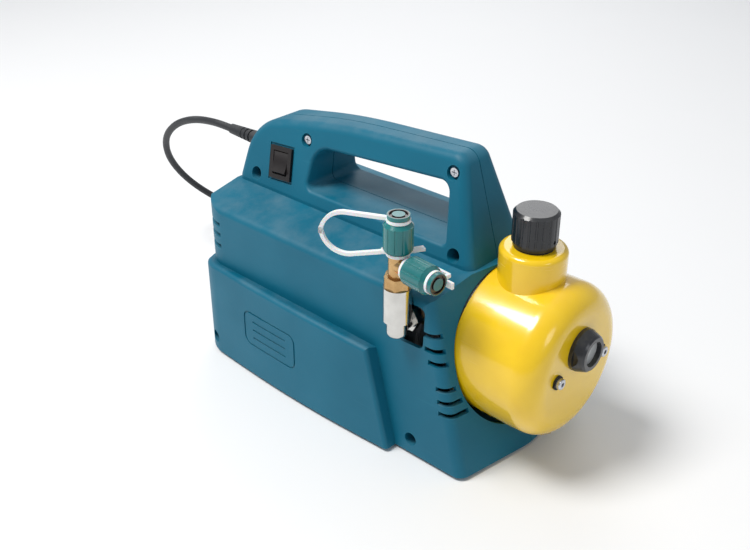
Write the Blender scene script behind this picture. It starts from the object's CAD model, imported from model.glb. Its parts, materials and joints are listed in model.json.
import json
import math

import bpy
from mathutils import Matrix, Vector


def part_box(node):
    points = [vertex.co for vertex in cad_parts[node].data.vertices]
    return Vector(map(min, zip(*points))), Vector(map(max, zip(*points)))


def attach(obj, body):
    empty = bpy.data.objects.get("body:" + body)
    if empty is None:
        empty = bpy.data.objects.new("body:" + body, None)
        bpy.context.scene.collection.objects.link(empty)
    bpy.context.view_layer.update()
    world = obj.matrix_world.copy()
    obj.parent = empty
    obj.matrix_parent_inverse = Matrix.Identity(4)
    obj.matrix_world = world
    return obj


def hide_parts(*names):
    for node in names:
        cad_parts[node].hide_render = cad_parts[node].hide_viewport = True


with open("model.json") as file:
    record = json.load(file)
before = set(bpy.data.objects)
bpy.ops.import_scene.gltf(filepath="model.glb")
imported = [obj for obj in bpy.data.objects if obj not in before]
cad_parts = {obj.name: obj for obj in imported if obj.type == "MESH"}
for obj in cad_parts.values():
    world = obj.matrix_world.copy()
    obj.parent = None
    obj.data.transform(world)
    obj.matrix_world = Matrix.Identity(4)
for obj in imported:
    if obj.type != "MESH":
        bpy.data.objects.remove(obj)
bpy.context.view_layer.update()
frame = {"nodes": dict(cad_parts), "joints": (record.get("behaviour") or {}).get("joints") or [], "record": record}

nodes = frame["nodes"]
bpy.context.scene.view_settings.view_transform = "Standard"
print("frame loaded,", len(nodes), "nodes")


cameraSettings = {
    "place": (0.48085, -0.56519, 0.52511),
    "azimuth": 42.5,
    "elevation": 29.5,
    "lens": 49.0,
}


def makeCamera(settings):
    data = bpy.data.cameras.new("camera")
    data.lens = settings["lens"]
    data.sensor_width = 36.0
    data.clip_end = 20.0
    camera = bpy.data.objects.new("camera", data)
    bpy.context.collection.objects.link(camera)
    a = math.radians(settings["azimuth"])
    e = math.radians(settings["elevation"])
    back = Vector((math.sin(a) * math.cos(e), -math.cos(a) * math.cos(e), math.sin(e)))
    camera.location = settings["place"]
    camera.rotation_mode = "QUATERNION"
    camera.rotation_quaternion = (-back).to_track_quat("-Z", "Y")
    bpy.context.scene.camera = camera
    return camera


makeCamera(cameraSettings)
print("camera placed")


cordSettings = {
    "diameter": 0.007,
    "length": 2.0,
    "exit": (-0.216, 0.0, 0.1785),
    "route": [
        (-0.212, 0, 0.1785), (-0.216, 0, 0.1785), (-0.243, 0.0005, 0.1782), (-0.277, 0.002, 0.172),
        (-0.313, 0.006, 0.156), (-0.344, 0.014, 0.130), (-0.362, 0.030, 0.096), (-0.363, 0.056, 0.060),
        (-0.347, 0.090, 0.028), (-0.314, 0.128, 0.008), (-0.266, 0.160, 0.0036), (-0.205, 0.183, 0.0036),
        (-0.132, 0.1915, 0.0036)],
    "coilCentre": (-0.105, 0.148),
    "turnRadii": [0.0452, 0.0382, 0.0312, 0.0312, 0.0382, 0.0452],
    "turnHeights": [0.0036, 0.0036, 0.0036, 0.0108, 0.0108, 0.0108],
    "pointsPerTurn": 24,
    "shift": 0.2,  # share of a turn in which the cord moves over to the next place
    "tail": [
        (-0.095, 0.193, 0.0109), (-0.085, 0.193, 0.0112), (-0.061, 0.193, 0.0165), (-0.036, 0.193, 0.0186)],
}


def easeBetween(x):
    x = min(1.0, max(0.0, x))
    return x * x * (3 - 2 * x)


def coilPoints(settings):
    # whole turns lie flat, and each moves over to the next one's place near its end
    count = settings["pointsPerTurn"]
    radii = settings["turnRadii"]
    heights = settings["turnHeights"]
    cx, cy = settings["coilCentre"]
    points = []
    for turn in range(len(radii)):
        following = min(turn + 1, len(radii) - 1)
        for step in range(count):
            part = step / count
            blend = easeBetween((part - 1 + settings["shift"]) / settings["shift"])
            radius = radii[turn] + (radii[following] - radii[turn]) * blend
            height = heights[turn] + (heights[following] - heights[turn]) * blend
            angle = math.pi / 2 - 2 * math.pi * part
            points.append((cx + radius * math.cos(angle), cy + radius * math.sin(angle), height))
    points.append((cx, cy + radii[-1], heights[-1]))
    return points


def makeCord(settings):
    points = settings["route"] + coilPoints(settings) + settings["tail"]
    data = bpy.data.curves.new("mainsCord", "CURVE")
    data.dimensions = "3D"
    data.bevel_depth = 1.0  # times each point's radius, which is the cord's own
    data.bevel_resolution = 5
    data.resolution_u = 6
    data.use_fill_caps = True
    spline = data.splines.new("NURBS")
    spline.points.add(len(points) - 1)
    for point, place in zip(spline.points, points):
        point.co = (*place, 1.0)
        point.radius = settings["diameter"] / 2
    spline.order_u = 3
    spline.use_endpoint_u = True
    spline.resolution_u = 6
    cord = bpy.data.objects.new("mainsCord", data)
    bpy.context.collection.objects.link(cord)
    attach(cord, "pump")
    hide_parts("mains_cord", "mains_cord_coil", "mains_cord_tail")
    return cord


cord = makeCord(cordSettings)
print("mains cord laid")


def addNode(tree, kind, options=None, **inputs):
    made = tree.nodes.new("ShaderNode" + kind)
    for key, value in (options or {}).items():
        setattr(made, key, value)
    for key, value in inputs.items():
        feed(tree, made.inputs[key.replace("_", " ")], value)
    return made


def feed(tree, socket, value):
    if isinstance(value, bpy.types.NodeSocket):
        tree.links.new(value, socket)
    else:
        socket.default_value = value


def calc(tree, operation, a, b=0.5, clamp=False):
    made = tree.nodes.new("ShaderNodeMath")
    made.operation = operation
    made.use_clamp = clamp
    feed(tree, made.inputs[0], a)
    feed(tree, made.inputs[1], b)
    return made.outputs[0]


def remap(tree, value, low, high, outLow=0.0, outHigh=1.0):
    made = addNode(tree, "MapRange", Value=value, From_Min=low, From_Max=high,
                   To_Min=outLow, To_Max=outHigh)
    return made.outputs[0]


def mixColour(tree, factor, a, b):
    made = tree.nodes.new("ShaderNodeMix")
    made.data_type = "RGBA"
    feed(tree, made.inputs[0], factor)
    feed(tree, made.inputs[6], a)
    feed(tree, made.inputs[7], b)
    return made.outputs[2]


def mixValue(tree, factor, a, b):
    made = tree.nodes.new("ShaderNodeMix")
    feed(tree, made.inputs[0], factor)
    feed(tree, made.inputs[2], a)
    feed(tree, made.inputs[3], b)
    return made.outputs[0]


def noiseAt(tree, vector, scale, detail=2.0, roughness=0.5):
    made = addNode(tree, "TexNoise", Vector=vector, Scale=scale, Detail=detail, Roughness=roughness)
    return made.outputs[0]


def newGroup(name, inputs, outputs):
    tree = bpy.data.node_groups.new(name, "ShaderNodeTree")
    for label, value in inputs:
        kind = "NodeSocketVector" if isinstance(value, tuple) else "NodeSocketFloat"
        tree.interface.new_socket(name=label, in_out="INPUT", socket_type=kind).default_value = value
    for label in outputs:
        tree.interface.new_socket(name=label, in_out="OUTPUT", socket_type="NodeSocketFloat")
    return tree, tree.nodes.new("NodeGroupInput").outputs, tree.nodes.new("NodeGroupOutput").inputs


def placeGroup(tree, group, **inputs):
    made = tree.nodes.new("ShaderNodeGroup")
    made.node_tree = group
    for key, value in inputs.items():
        feed(tree, made.inputs[key], value)
    return made.outputs


def makeGrain():
    # fine sparked texture of a mould, with a slow drift in tone
    tree, given, result = newGroup("mouldGrain", [("size", 900.0)], ["height", "tone"])
    place = addNode(tree, "TexCoord").outputs["Object"]
    pits = addNode(tree, "TexVoronoi", Vector=place, Scale=given["size"]).outputs[0]
    fine = noiseAt(tree, place, calc(tree, "MULTIPLY", given["size"], 1.6), 3.0, 0.6)
    feed(tree, result["height"], mixValue(tree, 0.5, pits, fine))
    slow = noiseAt(tree, place, calc(tree, "MULTIPLY", given["size"], 0.012), 3.0, 0.5)
    feed(tree, result["tone"], remap(tree, slow, 0.3, 0.7))
    return tree


def makeWear():
    # where hands and benches rub: along edges, as settled dust and as light scuffs
    tree, given, result = newGroup("handlingWear", [("edgeWidth", 0.0012), ("amount", 0.5)],
                                   ["edge", "dust", "scuff"])
    place = addNode(tree, "TexCoord").outputs["Object"]
    geometry = addNode(tree, "NewGeometry")
    rounded = addNode(tree, "Bevel", {"samples": 4}, Radius=given["edgeWidth"]).outputs[0]
    dot = addNode(tree, "VectorMath", {"operation": "DOT_PRODUCT"})
    feed(tree, dot.inputs[0], rounded)
    feed(tree, dot.inputs[1], geometry.outputs["Normal"])
    sharp = remap(tree, dot.outputs["Value"], 0.995, 0.86)
    broken = remap(tree, noiseAt(tree, place, 140.0, 4.0, 0.65), 0.42, 0.62)
    edge = calc(tree, "MULTIPLY", sharp, broken)
    feed(tree, result["edge"], calc(tree, "MULTIPLY", edge, given["amount"]))
    up = addNode(tree, "SeparateXYZ", Vector=geometry.outputs["Normal"]).outputs[2]
    settled = remap(tree, noiseAt(tree, place, 38.0, 5.0, 0.6), 0.4, 0.75)
    dust = calc(tree, "MULTIPLY", remap(tree, up, 0.35, 1.0), settled)
    feed(tree, result["dust"], calc(tree, "MULTIPLY", dust, given["amount"]))
    drawn = addNode(tree, "VectorMath", {"operation": "MULTIPLY"})
    feed(tree, drawn.inputs[0], place)
    feed(tree, drawn.inputs[1], (18.0, 60.0, 420.0))
    lines = remap(tree, noiseAt(tree, drawn.outputs[0], 1.0, 2.0, 0.4), 0.66, 0.72)
    patch = remap(tree, noiseAt(tree, place, 16.0, 2.0), 0.52, 0.66)
    scuff = calc(tree, "MULTIPLY", lines, patch)
    feed(tree, result["scuff"], calc(tree, "MULTIPLY", scuff, given["amount"]))
    return tree


def makeToolMarks():
    # fine lines left by turning, grinding or rolling along a chosen direction
    tree, given, result = newGroup("toolMarks", [("stretch", (300.0, 300.0, 3000.0)), ("size", 1.0)],
                                   ["height", "tone"])
    place = addNode(tree, "TexCoord").outputs["Object"]
    drawn = addNode(tree, "VectorMath", {"operation": "MULTIPLY"})
    feed(tree, drawn.inputs[0], place)
    feed(tree, drawn.inputs[1], given["stretch"])
    feed(tree, result["height"], noiseAt(tree, drawn.outputs[0], given["size"], 2.0, 0.5))
    feed(tree, result["tone"], remap(tree, noiseAt(tree, place, 70.0, 4.0, 0.6), 0.35, 0.7))
    return tree


grain = makeGrain()
wear = makeWear()
toolMarks = makeToolMarks()
print("shared effects made")


def newFinish(name):
    material = bpy.data.materials.new(name)
    material.use_nodes = True
    tree = material.node_tree
    return material, tree, tree.nodes["Principled BSDF"]


def bumped(tree, height, strength, distance):
    return addNode(tree, "Bump", Strength=strength, Distance=distance, Height=height).outputs[0]


def mouldedFinish(name, look):
    # plastic or rubber straight from the mould
    material, tree, surface = newFinish(name)
    marks = placeGroup(tree, grain, size=look["grainSize"])
    worn = placeGroup(tree, wear, edgeWidth=look.get("edgeWidth", 0.0012), amount=look.get("wear", 0.35))
    colour = mixColour(tree, marks["tone"], (*look["colour"], 1.0), (*look["shade"], 1.0))
    colour = mixColour(tree, worn["edge"], colour, (*look["rubbed"], 1.0))
    colour = mixColour(tree, calc(tree, "MULTIPLY", worn["dust"], 0.35), colour, (0.55, 0.55, 0.53, 1.0))
    colour = mixColour(tree, calc(tree, "MULTIPLY", worn["scuff"], 0.5), colour, (*look["rubbed"], 1.0))
    feed(tree, surface.inputs["Base Color"], colour)
    low, high = look["roughness"]
    rough = remap(tree, marks["tone"], 0.0, 1.0, low, high)
    rough = calc(tree, "ADD", rough, calc(tree, "MULTIPLY", worn["dust"], 0.3), True)
    feed(tree, surface.inputs["Roughness"], rough)
    feed(tree, surface.inputs["Normal"], bumped(tree, marks["height"], look["grainStrength"], 0.0003))
    surface.inputs["Specular IOR Level"].default_value = look.get("specular", 0.45)
    surface.inputs["Subsurface Weight"].default_value = look.get("glow", 0.0)
    surface.inputs["Subsurface Scale"].default_value = 0.002
    surface.inputs["Coat Weight"].default_value = look.get("coat", 0.0)
    surface.inputs["Coat Roughness"].default_value = 0.12
    return material


def enamelFinish(name, look):
    # glossy paint over metal, with a faint ripple and small chips on the edges
    material, tree, surface = newFinish(name)
    marks = placeGroup(tree, grain, size=look["rippleSize"])
    worn = placeGroup(tree, wear, edgeWidth=0.0014, amount=look["wear"])
    colour = mixColour(tree, marks["tone"], (*look["colour"], 1.0), (*look["shade"], 1.0))
    colour = mixColour(tree, calc(tree, "MULTIPLY", worn["dust"], 0.25), colour, (0.7, 0.66, 0.5, 1.0))
    colour = mixColour(tree, calc(tree, "MULTIPLY", worn["edge"], 0.6), colour, (*look["rubbed"], 1.0))
    feed(tree, surface.inputs["Base Color"], colour)
    low, high = look["roughness"]
    rough = remap(tree, marks["tone"], 0.0, 1.0, low, high)
    rough = calc(tree, "ADD", rough, calc(tree, "MULTIPLY", worn["scuff"], 0.3), True)
    feed(tree, surface.inputs["Roughness"], rough)
    feed(tree, surface.inputs["Normal"], bumped(tree, marks["tone"], look["ripple"], 0.0008))
    surface.inputs["Coat Weight"].default_value = look["coat"]
    surface.inputs["Coat Roughness"].default_value = 0.06
    return material


def metalFinish(name, look):
    # bare metal with tool marks and a little tarnish
    material, tree, surface = newFinish(name)
    marks = placeGroup(tree, toolMarks, stretch=look["stretch"], size=look.get("size", 1.0))
    worn = placeGroup(tree, wear, edgeWidth=0.0007, amount=look.get("wear", 0.5))
    colour = mixColour(tree, marks["tone"], (*look["colour"], 1.0), (*look["tarnish"], 1.0))
    colour = mixColour(tree, worn["edge"], colour, (*look["rubbed"], 1.0))
    feed(tree, surface.inputs["Base Color"], colour)
    surface.inputs["Metallic"].default_value = look.get("metallic", 1.0)
    low, high = look["roughness"]
    rough = remap(tree, marks["height"], 0.3, 0.7, low, high)
    rough = calc(tree, "ADD", rough, calc(tree, "MULTIPLY", worn["scuff"], 0.2), True)
    feed(tree, surface.inputs["Roughness"], rough)
    feed(tree, surface.inputs["Normal"], bumped(tree, marks["height"], look["strength"], 0.0002))
    return material


def castFinish(name, look):
    # sand or die cast metal, rough with fine pits
    material, tree, surface = newFinish(name)
    marks = placeGroup(tree, grain, size=look["grainSize"])
    worn = placeGroup(tree, wear, edgeWidth=0.001, amount=0.6)
    colour = mixColour(tree, marks["tone"], (*look["colour"], 1.0), (*look["shade"], 1.0))
    colour = mixColour(tree, worn["edge"], colour, (*look["rubbed"], 1.0))
    feed(tree, surface.inputs["Base Color"], colour)
    surface.inputs["Metallic"].default_value = look["metallic"]
    low, high = look["roughness"]
    feed(tree, surface.inputs["Roughness"], remap(tree, marks["height"], 0.2, 0.8, low, high))
    feed(tree, surface.inputs["Normal"], bumped(tree, marks["height"], look["strength"], 0.0004))
    return material


def glassFinish(name, look):
    material, tree, surface = newFinish(name)
    worn = placeGroup(tree, wear, edgeWidth=0.0006, amount=0.3)
    feed(tree, surface.inputs["Base Color"],
         mixColour(tree, worn["dust"], (*look["colour"], 1.0), (*look["dusty"], 1.0)))
    feed(tree, surface.inputs["Roughness"], remap(tree, worn["scuff"], 0.0, 1.0, look["roughness"], 0.25))
    surface.inputs["Transmission Weight"].default_value = look["clear"]
    surface.inputs["IOR"].default_value = 1.47
    return material


housingLook = {
    "colour": (0.001, 0.138, 0.222), "shade": (0.001, 0.116, 0.190), "rubbed": (0.03, 0.21, 0.28),
    "grainSize": 1100.0, "grainStrength": 0.22, "roughness": (0.44, 0.54), "wear": 0.3, "edgeWidth": 0.0016,
    "specular": 0.3,
}
casingLook = {
    "colour": (0.90, 0.585, 0.003), "shade": (0.86, 0.545, 0.002), "rubbed": (0.93, 0.70, 0.12),
    "rippleSize": 5200.0, "ripple": 0.05, "roughness": (0.2, 0.27), "coat": 0.7, "wear": 0.3,
}
capLook = {
    "colour": (0.010, 0.012, 0.016), "shade": (0.007, 0.008, 0.011), "rubbed": (0.05, 0.055, 0.065),
    "grainSize": 1400.0, "grainStrength": 0.1, "roughness": (0.24, 0.32), "wear": 0.5, "coat": 0.25,
}
bezelLook = {
    "colour": (0.012, 0.014, 0.018), "shade": (0.008, 0.009, 0.012), "rubbed": (0.16, 0.17, 0.19),
    "rippleSize": 6000.0, "ripple": 0.1, "roughness": (0.26, 0.36), "coat": 0.3, "wear": 0.6,
}
switchLook = {
    "colour": (0.014, 0.010, 0.010), "shade": (0.010, 0.008, 0.008), "rubbed": (0.05, 0.045, 0.045),
    "grainSize": 1600.0, "grainStrength": 0.08, "roughness": (0.26, 0.34), "wear": 0.4,
}
flareCapLook = {
    "colour": (0.0, 0.170, 0.175), "shade": (0.0, 0.130, 0.138), "rubbed": (0.03, 0.27, 0.24),
    "grainSize": 1500.0, "grainStrength": 0.06, "roughness": (0.18, 0.26), "wear": 0.4,
    "glow": 0.05, "coat": 0.4,
}
strapLook = {
    "colour": (0.83, 0.85, 0.85), "shade": (0.78, 0.80, 0.80), "rubbed": (0.88, 0.88, 0.87),
    "grainSize": 1500.0, "grainStrength": 0.08, "roughness": (0.34, 0.42), "wear": 0.3, "glow": 0.35,
}
rubberLook = {
    "colour": (0.014, 0.014, 0.015), "shade": (0.020, 0.020, 0.021), "rubbed": (0.06, 0.06, 0.06),
    "grainSize": 1300.0, "grainStrength": 0.25, "roughness": (0.6, 0.75), "wear": 0.6, "specular": 0.3,
}
cordLook = {
    "colour": (0.030, 0.032, 0.036), "shade": (0.024, 0.026, 0.030), "rubbed": (0.08, 0.08, 0.085),
    "grainSize": 1500.0, "grainStrength": 0.15, "roughness": (0.42, 0.55), "wear": 0.4, "specular": 0.35,
}
plasticLooks = {
    "housing": housingLook,
    "cap_black": capLook,
    "switch_black": switchLook,
    "flare_cap_green": flareCapLook,
    "strap_white": strapLook,
    "foot_rubber": rubberLook,
    "seal_rubber": rubberLook,
    "relief_rubber": cordLook,
    "cord_sheath": cordLook,
    "fan_plastic": capLook,
    "vane_composite": {**rubberLook, "roughness": (0.4, 0.5)},
    "lead_sleeve": {**cordLook, "colour": (0.11, 0.045, 0.02), "shade": (0.09, 0.035, 0.016)},
    "spider_rubber": {**rubberLook, "colour": (0.25, 0.02, 0.012), "shade": (0.2, 0.016, 0.01)},
    "capacitor_can": {**strapLook, "colour": (0.62, 0.62, 0.58), "shade": (0.56, 0.56, 0.53), "glow": 0.0},
    "terminal_plastic": {**strapLook, "colour": (0.72, 0.69, 0.58), "shade": (0.66, 0.63, 0.53),
                         "glow": 0.1},
}
metalLooks = {
    "zinc_steel": {"colour": (0.62, 0.63, 0.66), "tarnish": (0.50, 0.51, 0.54), "rubbed": (0.8, 0.8, 0.82),
                   "stretch": (900.0, 900.0, 900.0), "roughness": (0.26, 0.4), "strength": 0.12},
    "ground_steel": {"colour": (0.58, 0.59, 0.61), "tarnish": (0.46, 0.47, 0.49),
                     "rubbed": (0.78, 0.78, 0.8), "stretch": (3200.0, 260.0, 260.0),
                     "roughness": (0.18, 0.32), "strength": 0.1},
    "lamination_steel": {"colour": (0.20, 0.20, 0.22), "tarnish": (0.14, 0.135, 0.14),
                         "rubbed": (0.45, 0.45, 0.47), "stretch": (2000.0, 12.0, 12.0),
                         "roughness": (0.35, 0.55), "strength": 0.5},
    "copper_wire": {"colour": (0.56, 0.21, 0.09), "tarnish": (0.40, 0.13, 0.05),
                    "rubbed": (0.75, 0.36, 0.2), "stretch": (1400.0, 160.0, 160.0),
                    "roughness": (0.25, 0.4), "strength": 0.6},
    "brass": {"colour": (0.60, 0.385, 0.175), "tarnish": (0.46, 0.28, 0.12), "rubbed": (0.82, 0.62, 0.36),
              "stretch": (260.0, 260.0, 2400.0), "roughness": (0.2, 0.34), "strength": 0.12},
    "nickel": {"colour": (0.66, 0.65, 0.62), "tarnish": (0.55, 0.54, 0.51), "rubbed": (0.85, 0.85, 0.84),
               "stretch": (200.0, 200.0, 1800.0), "roughness": (0.1, 0.2), "strength": 0.06},
    "mesh_steel": {"colour": (0.42, 0.42, 0.44), "tarnish": (0.3, 0.3, 0.32), "rubbed": (0.6, 0.6, 0.62),
                   "stretch": (1500.0, 1500.0, 1500.0), "roughness": (0.35, 0.6), "strength": 0.9},
}
castLooks = {
    "cast_aluminium": {"colour": (0.50, 0.51, 0.53), "shade": (0.42, 0.43, 0.45),
                       "rubbed": (0.7, 0.7, 0.72), "grainSize": 700.0, "metallic": 0.9,
                       "roughness": (0.4, 0.6), "strength": 0.3},
    "cast_iron_grey": {"colour": (0.10, 0.10, 0.105), "shade": (0.075, 0.075, 0.08),
                       "rubbed": (0.35, 0.35, 0.36), "grainSize": 800.0, "metallic": 0.8,
                       "roughness": (0.4, 0.65), "strength": 0.35},
}
glassLook = {"colour": (0.66, 0.68, 0.68), "dusty": (0.55, 0.55, 0.53), "roughness": 0.04, "clear": 0.35}


flareRing = {
    "caps": ["top_cap", "side_cap"],
    "inner": 0.0046,
    "outer": 0.0077,
    "depth": 0.0018,  # from the end of the cap
    "colour": (0.016, 0.010, 0.009),
}


def makeCapRing(settings):
    # dark washer under the button of a flare cap: near the cap's end, between two distances from its axis
    tree, given, result = newGroup("capRing", [("origin", (0.0, 0.0, 0.0)), ("direction", (0.0, 0.0, 1.0)),
                                               ("end", 0.03)], ["mask"])
    place = addNode(tree, "TexCoord").outputs["Object"]
    offset = addNode(tree, "VectorMath", {"operation": "SUBTRACT"})
    feed(tree, offset.inputs[0], place)
    feed(tree, offset.inputs[1], given["origin"])
    along = addNode(tree, "VectorMath", {"operation": "DOT_PRODUCT"})
    feed(tree, along.inputs[0], offset.outputs[0])
    feed(tree, along.inputs[1], given["direction"])
    apart = addNode(tree, "VectorMath", {"operation": "CROSS_PRODUCT"})
    feed(tree, apart.inputs[0], offset.outputs[0])
    feed(tree, apart.inputs[1], given["direction"])
    reach = addNode(tree, "VectorMath", {"operation": "LENGTH"})
    feed(tree, reach.inputs[0], apart.outputs[0])
    beyond = calc(tree, "GREATER_THAN", reach.outputs["Value"], settings["inner"])
    within = calc(tree, "LESS_THAN", reach.outputs["Value"], settings["outer"])
    start = calc(tree, "SUBTRACT", given["end"], settings["depth"])
    near = calc(tree, "GREATER_THAN", along.outputs["Value"], start)
    feed(tree, result["mask"], calc(tree, "MULTIPLY", calc(tree, "MULTIPLY", beyond, within), near))
    return tree


capRing = makeCapRing(flareRing)


def flareCapFinish(name, settings):
    # green moulded cap with the washer's ring, along the axis that the cap turns on
    turn = next(joint for joint in frame["joints"] if joint["name"] == name + "_turn")
    origin = Vector(turn["pos_m"])
    direction = Vector(turn["axis"]).normalized()
    end = max((vertex.co - origin).dot(direction) for vertex in nodes[name].data.vertices)
    material = mouldedFinish("flare_" + name, flareCapLook)
    tree = material.node_tree
    surface = tree.nodes["Principled BSDF"]
    ring = placeGroup(tree, capRing, origin=tuple(origin), direction=tuple(direction), end=end)["mask"]
    green = surface.inputs["Base Color"].links[0].from_socket
    feed(tree, surface.inputs["Base Color"], mixColour(tree, ring, green, (*settings["colour"], 1.0)))
    return material


plugLook = {
    "colour": (0.016, 0.016, 0.018), "shade": (0.024, 0.024, 0.026), "pins": (0.62, 0.61, 0.58),
    "pinLength": 0.0188, "grainSize": 1300.0, "grainStrength": 0.15, "roughness": (0.38, 0.5),
    "pinRoughness": 0.2,
}


def plugFinish(look):
    # black moulded plug whose two pins are bright metal
    material, tree, surface = newFinish("plugBody")
    place = addNode(tree, "TexCoord").outputs["Object"]
    along = addNode(tree, "SeparateXYZ", Vector=place).outputs[0]
    pin = calc(tree, "GREATER_THAN", along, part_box("mains_plug")[1][0] - look["pinLength"])
    marks = placeGroup(tree, grain, size=look["grainSize"])
    body = mixColour(tree, marks["tone"], (*look["colour"], 1.0), (*look["shade"], 1.0))
    feed(tree, surface.inputs["Base Color"], mixColour(tree, pin, body, (*look["pins"], 1.0)))
    feed(tree, surface.inputs["Metallic"], pin)
    low, high = look["roughness"]
    rough = remap(tree, marks["height"], 0.2, 0.8, low, high)
    feed(tree, surface.inputs["Roughness"], mixValue(tree, pin, rough, look["pinRoughness"]))
    feed(tree, surface.inputs["Normal"], bumped(tree, marks["height"], look["grainStrength"], 0.0003))
    return material


def makeFinishes():
    made = {}
    for name, look in plasticLooks.items():
        made[name] = mouldedFinish(name, look)
    for name, look in metalLooks.items():
        made[name] = metalFinish(name, look)
    for name, look in castLooks.items():
        made[name] = castFinish(name, look)
    made["casing_yellow"] = enamelFinish("casing_yellow", casingLook)
    made["bezel_black"] = enamelFinish("bezel_black", bezelLook)
    made["sight_glass"] = glassFinish("sight_glass", glassLook)
    made["plug_black"] = plugFinish(plugLook)
    return made


finishes = makeFinishes()
for entry in frame["record"]["subparts"]:
    mesh = nodes[entry["node"]].data
    mesh.materials.clear()
    mesh.materials.append(finishes[entry["material_slot"]])
for name in flareRing["caps"]:
    nodes[name].data.materials[0] = flareCapFinish(name, flareRing)
cord.data.materials.append(finishes["cord_sheath"])


def newPiece(name, body, vertices, faces, finish):
    mesh = bpy.data.meshes.new(name)
    mesh.from_pydata(vertices, [], faces)
    mesh.update()
    piece = bpy.data.objects.new(name, mesh)
    bpy.context.collection.objects.link(piece)
    mesh.materials.append(finish)
    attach(piece, body)
    return piece


sightDisc = {
    "behind": 0.0022,  # from the lens's back face
    "crown": 0.0006,  # height of the middle above the flat ring
    "profile": [(0.0016, 0.0006), (0.0020, 0.0), (0.0074, 0.0), (0.0080, 0.0007), (0.0084, 0.0007),
                (0.0084, -0.0006)],
    "steps": 64,
    "oil": (0.62, 0.50, 0.24),
    "dry": (0.72, 0.73, 0.73),
    "oilBelow": 0.0022,  # from the middle of the glass down to the oil
    "oilEdge": 0.0002,
    "oilRipple": 0.0003,
    "speckle": (0.5, 0.5, 0.5),
    "roughness": (0.3, 0.42),
}


def sightDiscFinish(settings, height):
    # pale reflector seen through the glass, tinted where the oil stands in front of it
    material, tree, surface = newFinish("sightDisc")
    marks = placeGroup(tree, grain, size=1400.0)
    up = addNode(tree, "SeparateXYZ", Vector=addNode(tree, "TexCoord").outputs["Object"]).outputs[2]
    level = calc(tree, "ADD", up, calc(tree, "MULTIPLY", marks["tone"], settings["oilRipple"]))
    under = remap(tree, level, height + settings["oilEdge"], height - settings["oilEdge"])
    tint = mixColour(tree, under, (*settings["dry"], 1.0), (*settings["oil"], 1.0))
    speckled = calc(tree, "MULTIPLY", marks["tone"], 0.15)
    tint = mixColour(tree, speckled, tint, (*settings["speckle"], 1.0))
    feed(tree, surface.inputs["Base Color"], tint)
    low, high = settings["roughness"]
    feed(tree, surface.inputs["Roughness"], remap(tree, marks["height"], 0.2, 0.8, low, high))
    return material


def makeSightDisc(settings):
    low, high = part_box("sight_glass_lens")
    x = low[0] - settings["behind"]
    z = (low[2] + high[2]) / 2
    count = settings["steps"]
    vertices = [(x + settings["crown"], 0.0, z)]
    faces = [(0, 1 + step, 1 + (step + 1) % count) for step in range(count)]
    for radius, lift in settings["profile"]:
        for step in range(count):
            angle = 2 * math.pi * step / count
            vertices.append((x + lift, radius * math.cos(angle), z + radius * math.sin(angle)))
    for ring in range(len(settings["profile"]) - 1):
        inner = 1 + ring * count
        outer = inner + count
        for step in range(count):
            after = (step + 1) % count
            faces.append((inner + step, outer + step, outer + after, inner + after))
    finish = sightDiscFinish(settings, z - settings["oilBelow"])
    return newPiece("sightDisc", "pump", vertices, faces, finish)


makeSightDisc(sightDisc)
print("sight disc made")


roomSettings = {
    "floorSize": 6.0,
    "floorColour": (0.86, 0.865, 0.87),
    "floorShade": 0.985,  # of the floor's colour, in its darker patches
    "floorRoughness": 0.7,
    "lightsAim": (0.0, 0.0, 0.09),
    "world": (0.92, 0.95, 1.0),
    "worldStrength": 0.44,
    "lights": [
        # name, place, size, power, colour
        ("keyLight", (-0.55, -0.85, 2.0), 0.9, 42.0, (1.0, 0.985, 0.96)),
        ("fillLight", (1.9, -0.2, 0.9), 0.7, 3.0, (0.96, 0.98, 1.0)),
        ("backLight", (-1.0, 1.3, 1.2), 1.2, 7.0, (1.0, 1.0, 1.0)),
    ],
}


def makeFloor(settings):
    half = settings["floorSize"] / 2
    mesh = bpy.data.meshes.new("floor")
    corners = [(-half, -half, 0), (half, -half, 0), (half, half, 0), (-half, half, 0)]
    mesh.from_pydata(corners, [], [(0, 1, 2, 3)])
    floor = bpy.data.objects.new("floor", mesh)
    bpy.context.collection.objects.link(floor)
    material, tree, surface = newFinish("paleFloor")
    place = addNode(tree, "TexCoord").outputs["Object"]
    tone = noiseAt(tree, place, 6.0, 3.0)
    shade = tuple(settings["floorShade"] * c for c in settings["floorColour"])
    feed(tree, surface.inputs["Base Color"],
         mixColour(tree, tone, (*settings["floorColour"], 1.0), (*shade, 1.0)))
    surface.inputs["Roughness"].default_value = settings["floorRoughness"]
    mesh.materials.append(material)


def makeLights(settings):
    target = Vector(settings["lightsAim"])
    for name, place, size, power, colour in settings["lights"]:
        data = bpy.data.lights.new(name, "AREA")
        data.shape = "DISK"
        data.size = size
        data.energy = power
        data.color = colour
        lamp = bpy.data.objects.new(name, data)
        bpy.context.collection.objects.link(lamp)
        lamp.location = place
        lamp.rotation_mode = "QUATERNION"
        lamp.rotation_quaternion = (target - Vector(place)).to_track_quat("-Z", "Y")
    world = bpy.data.worlds.new("studio")
    world.use_nodes = True
    sky = world.node_tree.nodes["Background"]
    sky.inputs["Color"].default_value = (*settings["world"], 1.0)
    sky.inputs["Strength"].default_value = settings["worldStrength"]
    bpy.context.scene.world = world


makeFloor(roomSettings)
makeLights(roomSettings)
print("room lit")
